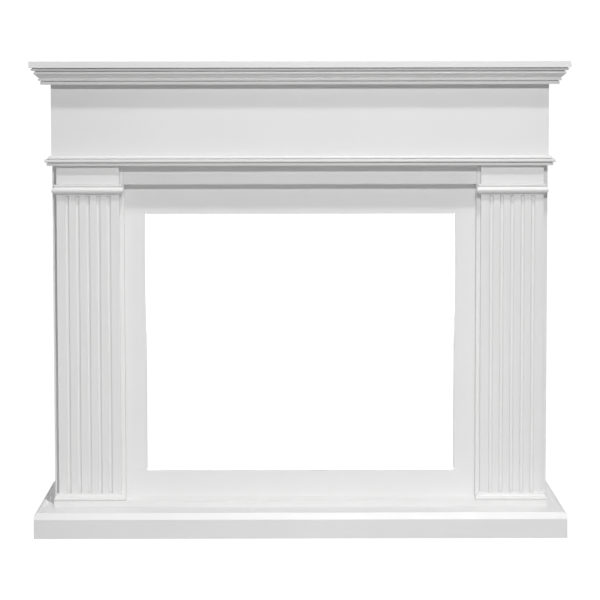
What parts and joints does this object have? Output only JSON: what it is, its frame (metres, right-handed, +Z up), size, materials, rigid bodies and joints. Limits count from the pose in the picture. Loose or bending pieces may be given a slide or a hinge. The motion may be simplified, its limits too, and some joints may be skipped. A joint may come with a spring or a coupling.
{
  "type": "fireplace mantelpiece",
  "caption": "White painted mantelpiece: moulded shelf, plain frieze, grooved pilasters and a stepped hearth round an open firebox hole.",
  "frame": {"origin": "middle of the footprint, on the floor", "axes": "+X along the wall to the right of someone who faces the mantelpiece, +Y back to the wall, +Z up"},
  "size_m": [1.17, 0.41, 1.032],
  "materials": {
    "satin_paint": "satin",
    "primer": "matte"
  },
  "bodies": {
    "root": {"mantel_shelf": "satin_paint", "frieze_board": "satin_paint", "crown_front": "satin_paint", "crown_return_left": "satin_paint", "crown_return_right": "satin_paint", "belt_front": "satin_paint", "belt_return_left": "satin_paint", "belt_return_right": "satin_paint", "capital_left": "satin_paint", "capital_right": "satin_paint", "astragal_left_front": "satin_paint", "astragal_left_outer": "satin_paint", "astragal_left_inner": "satin_paint", "astragal_right_front": "satin_paint", "astragal_right_outer": "satin_paint", "astragal_right_inner": "satin_paint", "pilaster_left": "satin_paint", "pilaster_right": "satin_paint", "base_left_front": "satin_paint", "base_left_outer": "satin_paint", "base_left_inner": "satin_paint", "base_right_front": "satin_paint", "base_right_outer": "satin_paint", "base_right_inner": "satin_paint", "stile_left": "satin_paint", "stile_right": "satin_paint", "lintel_rail": "satin_paint", "header_board": "satin_paint", "jamb_left": "satin_paint", "jamb_right": "satin_paint", "sill_board": "satin_paint", "side_panel_left": "satin_paint", "side_panel_right": "satin_paint", "plinth_board": "satin_paint", "hearth_top": "satin_paint", "hearth_edge_left": "satin_paint", "hearth_edge_right": "satin_paint", "hearth_front_board": "satin_paint", "hearth_side_left": "satin_paint", "hearth_side_right": "satin_paint", "hearth_back_board": "primer"}
  },
  "joints": []
}
